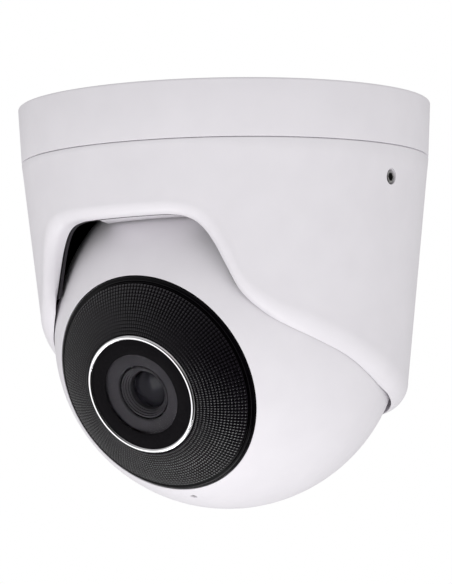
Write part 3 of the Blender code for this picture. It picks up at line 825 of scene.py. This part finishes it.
def build_window():
    """Chrome ring, flat window, the ink printed round its front and the seal behind it."""
    inner, outer, low, high = reach("chrome_ring", BALL_FRAME)
    trim = rounded([(inner, high - 0.25, 0.2), (inner + 0.3, high, 0.3), (outer - 0.25, high, 0.4),
                    (outer, high - 0.5, 0.3), (outer, low, 0.1), (inner, low, 0.1)], 6)
    piece("chrome_trim_ring", turned("chrome_trim_ring", trim), "eyeball", "chrome_trim", ["chrome_ring"],
          BALL_FRAME)
    _, _, low, high = reach("window_glass", BALL_FRAME)
    rim = inner - 0.06
    pane = rounded([(0, high, 0), (rim, high, 0.1), (rim, low, 0.2), (0, low, 0)])
    piece("window_pane", turned("window_pane", pane), "eyeball", "clear_window", ["window_glass"], BALL_FRAME)
    mask = rounded([(MASK_HOLE, high + 0.03, 0.01), (rim, high + 0.03, 0.01), (rim, high + 0.01, 0.005),
                    (MASK_HOLE, high + 0.01, 0.005)], 2)
    ink = piece("window_mask", turned("window_mask", mask), "eyeball", "black_rubber", (), BALL_FRAME)
    refinish(ink, printed_mask)
    hole, outer, low, high = reach("window_gasket", BALL_FRAME)
    seal = rounded([(hole, high, 0.3), (outer, high, 0.3), (outer, low, 0.3), (hole, low, 0.3)])
    piece("window_seal", turned("window_seal", seal), "eyeball", "black_rubber", ["window_gasket"],
          BALL_FRAME)


def build_lens():
    """Baffle, stepped barrel and front lens."""
    inner, outer, low, high = reach("light_baffle", BALL_FRAME)
    corners = [(inner, high - 0.3, 0.1), (inner + 0.3, high, 0.15), (outer, high, 0.25),
               (outer, high - 1.4, 0.2), (10.6, high - 1.4, 0.3), (10.6, low, 0.3), (9.6, low, 0.3),
               (9.6, high - 1.0, 0.3), (inner, high - 1.0, 0.1)]
    baffle = piece("lens_baffle", turned("lens_baffle", rounded(corners), 192), "eyeball", "black_rubber",
                   ["light_baffle"], BALL_FRAME)
    refinish(baffle, grey_baffle)
    _, outer, low, high = reach("lens_barrel", BALL_FRAME)
    corners = [(outer - 0.5, high, 0.15), (outer - 0.15, high - 0.05, 0.2), (outer, high - 0.4, 0.15),
               (outer, 33.0, 0.2), (outer - 1, 32.4, 0.2)]
    corners += thread(outer - 1.0, 32.0, 24.4, 0.5)
    corners += [(outer - 1, low, 0.2), (3.4, low, 0.2), (3.4, 33.0, 0.2), (5.2, 34.5, 0.2)]
    corners += [(5.2, 40.0, 0.06), (5.45, 40.15, 0.06), (5.6, 40.55, 0.06), (5.9, 40.7, 0.06),
                (6.05, 41.1, 0.06), (6.35, 41.25, 0.06)]
    barrel = piece("lens_barrel_stepped", turned("lens_barrel_stepped", rounded(corners, 3), 192), "eyeball",
                   "black_plastic", ["lens_barrel"], BALL_FRAME)
    refinish(barrel, grey_baffle)
    _, outer, low, high = reach("lens_front_glass", BALL_FRAME)
    sag = 1.2
    sphere = (outer ** 2 + sag ** 2) / (2 * sag)
    edge = math.degrees(math.asin(outer / sphere))
    front = [(r, z + high - sphere) for r, z in arc(sphere, 0, edge, 20)]
    front[0] = (0, high)
    front += [(outer, low + 0.2), (outer - 0.2, low), (0, low)]
    lens = piece("lens_front_element", turned("lens_front_element", front, 128), "eyeball", "clear_window",
                 ["lens_front_glass"], BALL_FRAME)
    refinish(lens, lens_glass)


def thread(radius, top, bottom, pitch):
    """Corners of a run of ring grooves that stand for a fine thread."""
    corners = []
    for i in range(int((top - bottom) / pitch)):
        corners += [(radius, top - i * pitch, 0.04), (radius - 0.22, top - (i + 0.5) * pitch, 0.04)]
    return corners


# ---------------------------------------------------------------- pieces that keep their CAD shape

def dress_frame():
    """Gives each CAD node that still shows the material of its slot."""
    slots = {part["node"]: part["material_slot"] for part in frame["record"]["subparts"]}
    for name, obj in frame["nodes"].items():
        if obj.hide_render:
            continue
        obj.data.materials.clear()
        obj.data.materials.append(LOOKS[slots[name]])


# ---------------------------------------------------------------- studio

def build_camera():
    a, e = math.radians(AZIMUTH), math.radians(ELEVATION)
    back = Vector((math.sin(a) * math.cos(e), -math.cos(a) * math.cos(e), math.sin(e)))
    a, e, roll = math.radians(AZIMUTH + PAN), math.radians(RISE), math.radians(ROLL)
    forward = Vector((-math.sin(a) * math.cos(e), math.cos(a) * math.cos(e), math.sin(e)))
    right = Vector((math.cos(a), math.sin(a), 0))
    up = right.cross(forward)
    across = right * math.cos(roll) + up * math.sin(roll)
    upward = up * math.cos(roll) - right * math.sin(roll)
    camera = bpy.data.objects.new("camera", bpy.data.cameras.new("camera"))
    bpy.context.scene.collection.objects.link(camera)
    camera.data.lens = LENS
    camera.data.clip_start, camera.data.clip_end = 0.05, 20
    turn = Matrix((across, upward, -forward)).transposed().to_4x4()
    camera.matrix_world = Matrix.Translation((Vector((0, 0, AIM_Z)) + back * DISTANCE) * MM) @ turn
    bpy.context.scene.camera = camera


def build_floor():
    bm = bmesh.new()
    bmesh.ops.create_circle(bm, cap_ends=True, segments=128, radius=2.5)
    floor = bpy.data.objects.new("floor", mesh_from(bm, "floor"))
    bpy.context.scene.collection.objects.link(floor)
    floor.location.z = -0.6
    floor.data.materials.append(studio_floor().material)
    floor.visible_glossy = False


def build_light():
    """White studio. Reflections see a dim side and brighter panels instead of its even light."""
    world = bpy.data.worlds.new("studio")
    bpy.context.scene.world = world
    world.use_nodes = True
    nodes, links = world.node_tree.nodes, world.node_tree.links
    background = nodes["Background"]
    background.inputs["Color"].default_value = (1.0, 1.0, 1.0, 1.0)
    direction = nodes.new("ShaderNodeTexCoord").outputs["Generated"]

    def glow(towards, near, far, low, high):
        """Brightness that changes between two angles from a direction: low far from it, high near it."""
        dot = nodes.new("ShaderNodeVectorMath")
        dot.operation = "DOT_PRODUCT"
        dot.inputs[1].default_value = Vector(towards).normalized()
        links.new(direction, dot.inputs[0])
        spread = nodes.new("ShaderNodeMapRange")
        spread.interpolation_type = "SMOOTHSTEP"
        limits = (math.cos(math.radians(far)), math.cos(math.radians(near)), low, high)
        for name, value in zip(("From Min", "From Max", "To Min", "To Max"), limits):
            spread.inputs[name].default_value = value
        links.new(dot.outputs["Value"], spread.inputs["Value"])
        return spread.outputs["Result"]

    def total(first, *others):
        """Sum of several brightness values."""
        for other in others:
            node = nodes.new("ShaderNodeMath")
            links.new(first, node.inputs[0])
            links.new(other, node.inputs[1])
            first = node.outputs["Value"]
        return first

    panels = (glow(PANEL_TOWARDS, *PANEL), glow(SIDE_TOWARDS, *SIDE), glow(HIGHLIGHT_TOWARDS, *HIGHLIGHT))
    mirrored = total(glow(DIM_TOWARDS, *DIM), *panels)
    path = nodes.new("ShaderNodeLightPath")
    mix = nodes.new("ShaderNodeMix")
    mix.inputs["A"].default_value = AROUND
    links.new(path.outputs["Is Glossy Ray"], mix.inputs["Factor"])
    links.new(mirrored, mix.inputs["B"])
    white = nodes.new("ShaderNodeMix")
    white.inputs["B"].default_value = 1.0
    links.new(path.outputs["Is Camera Ray"], white.inputs["Factor"])
    links.new(mix.outputs["Result"], white.inputs["A"])
    links.new(white.outputs["Result"], background.inputs["Strength"])
    strip = soft_box("strip", (-0.07, -0.07, -0.52), 0.46, UNDER_POWER)
    strip.data.shape = "RECTANGLE"
    strip.data.size_y = STRIP_WIDTH
    strip.rotation_euler = (math.pi, 0, math.radians(STRIP_TURN))
    for name, at in (("front_left", (-0.10, -0.78, -0.38)), ("front_right", (0.80, -0.10, -0.35))):
        front = soft_box(name, at, 0.45, FRONT_POWER)
        front.visible_glossy = False
    bpy.context.scene.view_settings.view_transform = "Standard"


def soft_box(name, at, size, power):
    """An area light that faces the ball."""
    lamp = bpy.data.objects.new(name, bpy.data.lights.new(name, "AREA"))
    bpy.context.scene.collection.objects.link(lamp)
    lamp.data.size = size
    lamp.data.energy = power
    lamp.location = at
    lamp.rotation_euler = (Vector(at) - BALL_CENTRE).to_track_quat("Z", "Y").to_euler()
    return lamp


build_camera()
build_floor()
build_light()
build_base()
build_cover()
build_dome()
build_brow_liner()
build_ball()
dress_frame()
